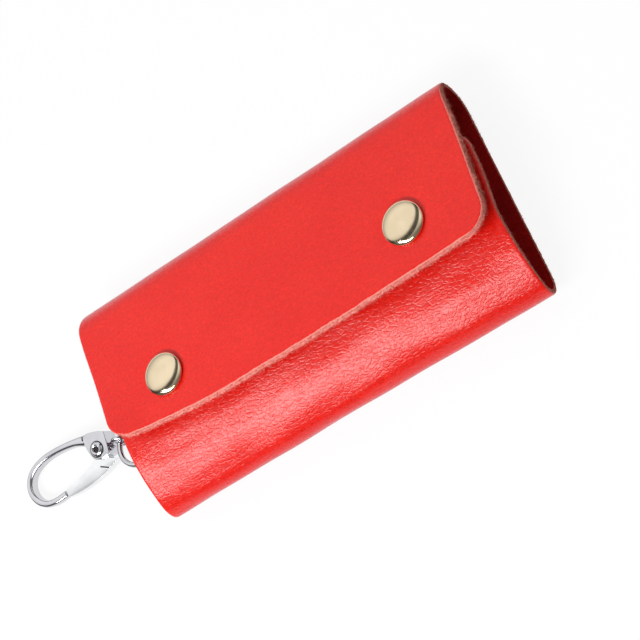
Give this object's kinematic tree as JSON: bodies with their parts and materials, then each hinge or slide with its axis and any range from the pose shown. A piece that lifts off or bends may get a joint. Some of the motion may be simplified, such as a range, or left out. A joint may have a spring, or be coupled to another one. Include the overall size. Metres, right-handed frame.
{
  "type": "key case",
  "caption": "Three-fold leather key case with snap fasteners, swivelling key hooks on a rail inside and a trigger clasp on a wire ring.",
  "frame": {"origin": "middle of the outer face of the back, without the clasp", "axes": "+X along the case away from the clasp, +Y towards the front flap's fold, +Z out of the front"},
  "size_m": [0.1627, 0.06, 0.0222],
  "materials": {
    "leather": "grained, semi-gloss",
    "snap_nickel": "polished",
    "rail_nickel": "satin",
    "chrome": "polished",
    "steel": "drawn"
  },
  "bodies": {
    "back": {"back_panel": "leather", "key_rail": "rail_nickel", "rail_rivets": "rail_nickel", "rail_rivet_caps": "rail_nickel"},
    "front": {"front_flap": "leather", "left_snap_cap": "snap_nickel", "left_snap_socket": "snap_nickel", "left_snap_spring": "steel", "right_snap_cap": "snap_nickel", "right_snap_socket": "snap_nickel", "right_snap_spring": "steel"},
    "under": {"under_flap": "leather", "left_snap_stud": "snap_nickel", "left_snap_post": "snap_nickel", "right_snap_stud": "snap_nickel", "right_snap_post": "snap_nickel"},
    "hook_1": {"hook_swivel_1": "rail_nickel", "hook_loop_1": "rail_nickel"},
    "hook_gate_1": {"hook_gate_1": "rail_nickel"},
    "hook_2": {"hook_swivel_2": "rail_nickel", "hook_loop_2": "rail_nickel"},
    "hook_gate_2": {"hook_gate_2": "rail_nickel"},
    "hook_3": {"hook_swivel_3": "rail_nickel", "hook_loop_3": "rail_nickel"},
    "hook_gate_3": {"hook_gate_3": "rail_nickel"},
    "hook_4": {"hook_swivel_4": "rail_nickel", "hook_loop_4": "rail_nickel"},
    "hook_gate_4": {"hook_gate_4": "rail_nickel"},
    "hook_5": {"hook_swivel_5": "rail_nickel", "hook_loop_5": "rail_nickel"},
    "hook_gate_5": {"hook_gate_5": "rail_nickel"},
    "hook_6": {"hook_swivel_6": "rail_nickel", "hook_loop_6": "rail_nickel"},
    "hook_gate_6": {"hook_gate_6": "rail_nickel"},
    "ring": {"link_ring": "chrome"},
    "eye": {"swivel_eye": "chrome"},
    "clasp": {"clasp_hook": "chrome", "clasp_pivot": "chrome", "clasp_spring": "steel"},
    "clasp_gate": {"clasp_gate": "chrome"}
  },
  "joints": [
    {"name": "front_flap_fold", "type": "hinge", "parent": "back", "child": "front", "pos_m": [0, 0.03, 0.008], "axis": [-1, 0, 0], "range_deg": [0, 170]},
    {"name": "under_flap_fold", "type": "hinge", "parent": "back", "child": "under", "pos_m": [0, -0.03, 0.0059], "axis": [1, 0, 0], "range_deg": [0, 85]},
    {"name": "hook_1_swivel", "type": "hinge", "parent": "back", "child": "hook_1", "pos_m": [-0.046, -0.01817, 0.006], "axis": [1, 0, 0], "continuous": true},
    {"name": "hook_1_gate", "type": "hinge", "parent": "hook_1", "child": "hook_gate_1", "pos_m": [-0.0427, -0.02037, 0.006], "axis": [0, 0, 1], "range_deg": [0, 12], "stiffness_Nm_per_rad": 0.0005},
    {"name": "hook_2_swivel", "type": "hinge", "parent": "back", "child": "hook_2", "pos_m": [-0.046, -0.0109, 0.006], "axis": [1, 0, 0], "continuous": true},
    {"name": "hook_2_gate", "type": "hinge", "parent": "hook_2", "child": "hook_gate_2", "pos_m": [-0.0427, -0.0131, 0.006], "axis": [0, 0, 1], "range_deg": [0, 12], "stiffness_Nm_per_rad": 0.0005},
    {"name": "hook_3_swivel", "type": "hinge", "parent": "back", "child": "hook_3", "pos_m": [-0.046, -0.00363, 0.006], "axis": [1, 0, 0], "continuous": true},
    {"name": "hook_3_gate", "type": "hinge", "parent": "hook_3", "child": "hook_gate_3", "pos_m": [-0.0427, -0.00583, 0.006], "axis": [0, 0, 1], "range_deg": [0, 12], "stiffness_Nm_per_rad": 0.0005},
    {"name": "hook_4_swivel", "type": "hinge", "parent": "back", "child": "hook_4", "pos_m": [-0.046, 0.00363, 0.006], "axis": [1, 0, 0], "continuous": true},
    {"name": "hook_4_gate", "type": "hinge", "parent": "hook_4", "child": "hook_gate_4", "pos_m": [-0.0427, 0.00143, 0.006], "axis": [0, 0, 1], "range_deg": [0, 12], "stiffness_Nm_per_rad": 0.0005},
    {"name": "hook_5_swivel", "type": "hinge", "parent": "back", "child": "hook_5", "pos_m": [-0.046, 0.0109, 0.006], "axis": [1, 0, 0], "continuous": true},
    {"name": "hook_5_gate", "type": "hinge", "parent": "hook_5", "child": "hook_gate_5", "pos_m": [-0.0427, 0.0087, 0.006], "axis": [0, 0, 1], "range_deg": [0, 12], "stiffness_Nm_per_rad": 0.0005},
    {"name": "hook_6_swivel", "type": "hinge", "parent": "back", "child": "hook_6", "pos_m": [-0.046, 0.01817, 0.006], "axis": [1, 0, 0], "continuous": true},
    {"name": "hook_6_gate", "type": "hinge", "parent": "hook_6", "child": "hook_gate_6", "pos_m": [-0.0427, 0.01597, 0.006], "axis": [0, 0, 1], "range_deg": [0, 12], "stiffness_Nm_per_rad": 0.0005},
    {"name": "ring_swing", "type": "hinge", "parent": "back", "child": "ring", "pos_m": [-0.0535, -0.0066, 0.0054], "axis": [0, 0.9397, -0.342], "range_deg": [0, 30]},
    {"name": "eye_swing", "type": "hinge", "parent": "ring", "child": "eye", "pos_m": [-0.06717, -0.00363, 0.00432], "axis": [0.1564, 0.9281, -0.3378], "range_deg": [-25, 45]},
    {"name": "clasp_swivel", "type": "hinge", "parent": "eye", "child": "clasp", "pos_m": [-0.06717, -0.00363, 0.00432], "axis": [-0.9871, 0.1354, -0.0852], "continuous": true},
    {"name": "clasp_gate_pivot", "type": "hinge", "parent": "clasp", "child": "clasp_gate", "pos_m": [-0.07388, -0.00271, 0.00374], "axis": [0.0848, -0.0084, -0.9964], "range_deg": [0, 20], "stiffness_Nm_per_rad": 0.01}
  ],
  "couplings": [
    {"joint": "under_flap_fold", "follows": "front_flap_fold", "ratio": 0.5}
  ]
}
